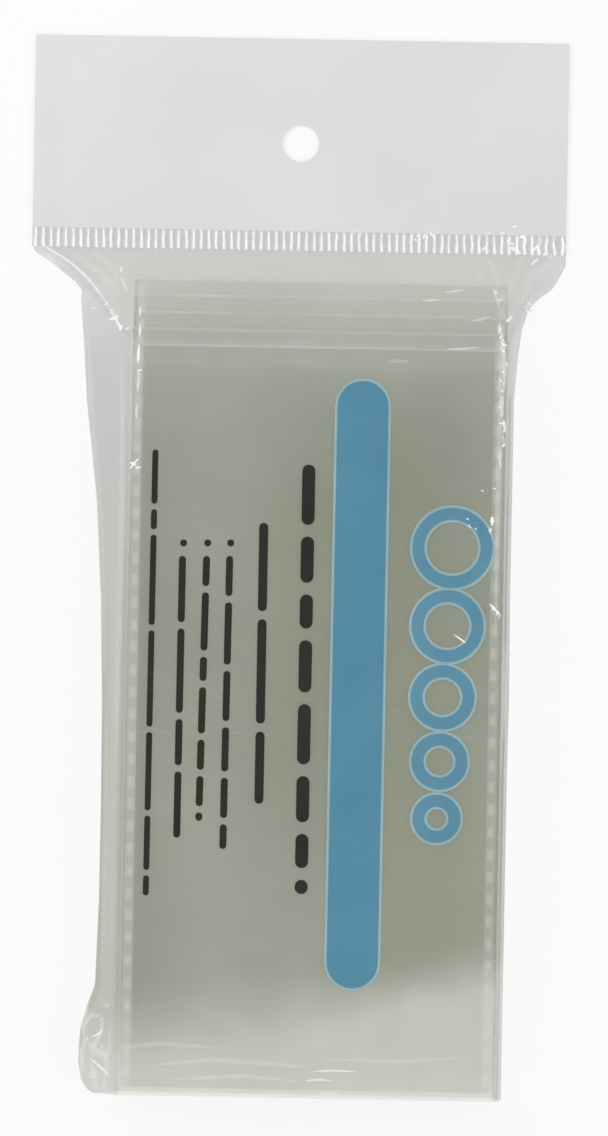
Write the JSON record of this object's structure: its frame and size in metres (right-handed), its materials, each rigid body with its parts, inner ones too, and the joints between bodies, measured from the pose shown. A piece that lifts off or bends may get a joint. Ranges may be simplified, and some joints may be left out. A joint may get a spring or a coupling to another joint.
{
  "type": "retail hang pack of coin flips",
  "caption": "Clear film bag with a white punched hanging header and ribbed weld, holding a stack of clear double-pocket coin flips behind a stick-down bottom flap.",
  "frame": {"origin": "on the table under the middle of the pack's box, the pack lying on its back", "axes": "+X right and +Y up to the header as the front is read, +Z out of the front"},
  "size_m": [0.0912, 0.1806, 0.0189],
  "materials": {
    "clear_film": "clear glossy film",
    "clear_sheet": "clear glossy sheet, slightly grey-green in a stack",
    "ribbed_weld": "white film pressed into bright ribs",
    "white_header": "pearly white satin film",
    "adhesive": "clear tacky strip"
  },
  "bodies": {
    "bag": {"bag_front_film": "clear_film", "bag_back_film": "clear_film", "rib_seal": "ribbed_weld", "header_front": "white_header", "header_back": "white_header"},
    "flap_wall": {"closure_wall": "clear_film"},
    "flap_lip": {"closure_lip": "clear_film", "adhesive_strip": "adhesive"},
    "bundle_1": {"flip_01": "clear_sheet", "flip_02": "clear_sheet", "flip_03": "clear_sheet", "flip_04": "clear_sheet", "flip_05": "clear_sheet", "flip_06": "clear_sheet", "flip_07": "clear_sheet", "flip_08": "clear_sheet", "flip_09": "clear_sheet", "flip_10": "clear_sheet"},
    "bundle_2": {"flip_11": "clear_sheet", "flip_12": "clear_sheet", "flip_13": "clear_sheet", "flip_14": "clear_sheet", "flip_15": "clear_sheet", "flip_16": "clear_sheet", "flip_17": "clear_sheet", "flip_18": "clear_sheet", "flip_19": "clear_sheet", "flip_20": "clear_sheet"},
    "bundle_3": {"flip_21": "clear_sheet", "flip_22": "clear_sheet", "flip_23": "clear_sheet", "flip_24": "clear_sheet", "flip_25": "clear_sheet", "flip_26": "clear_sheet", "flip_27": "clear_sheet", "flip_28": "clear_sheet", "flip_29": "clear_sheet", "flip_30": "clear_sheet"},
    "bundle_4": {"flip_31": "clear_sheet", "flip_32": "clear_sheet", "flip_33": "clear_sheet", "flip_34": "clear_sheet", "flip_35": "clear_sheet", "flip_36": "clear_sheet", "flip_37": "clear_sheet", "flip_38": "clear_sheet", "flip_39": "clear_sheet", "flip_40": "clear_sheet"},
    "bundle_5": {"flip_41": "clear_sheet", "flip_42": "clear_sheet", "flip_43": "clear_sheet", "flip_44": "clear_sheet", "flip_45": "clear_sheet", "flip_46": "clear_sheet", "flip_47": "clear_sheet", "flip_48": "clear_sheet", "flip_49": "clear_sheet", "flip_50": "clear_sheet"}
  },
  "joints": [
    {"name": "flap_open", "type": "hinge", "parent": "bag", "child": "flap_wall", "pos_m": [0, -0.0902, 0.01888], "axis": [-1, 0, 0], "range_deg": [0, 170]},
    {"name": "lip_unfold", "type": "hinge", "parent": "flap_wall", "child": "flap_lip", "pos_m": [0, -0.09028, 0], "axis": [-1, 0, 0], "range_deg": [0, 90]},
    {"name": "bundle_1_slide", "type": "slide", "parent": "bag", "child": "bundle_1", "axis": [0, 1, 0], "range_m": [-0.01148, 0.0018]},
    {"name": "bundle_2_slide", "type": "slide", "parent": "bag", "child": "bundle_2", "axis": [0, 1, 0], "range_m": [-0.00871, 0.0015]},
    {"name": "bundle_3_slide", "type": "slide", "parent": "bag", "child": "bundle_3", "axis": [0, 1, 0], "range_m": [-0.00594, 0.0012]},
    {"name": "bundle_4_slide", "type": "slide", "parent": "bag", "child": "bundle_4", "axis": [0, 1, 0], "range_m": [-0.00317, 0.0009]},
    {"name": "bundle_5_slide", "type": "slide", "parent": "bag", "child": "bundle_5", "axis": [0, 1, 0], "range_m": [-0.0004, 0.0006]}
  ],
  "couplings": [
    {"joint": "lip_unfold", "follows": "flap_open", "ratio": 0.52941}
  ]
}
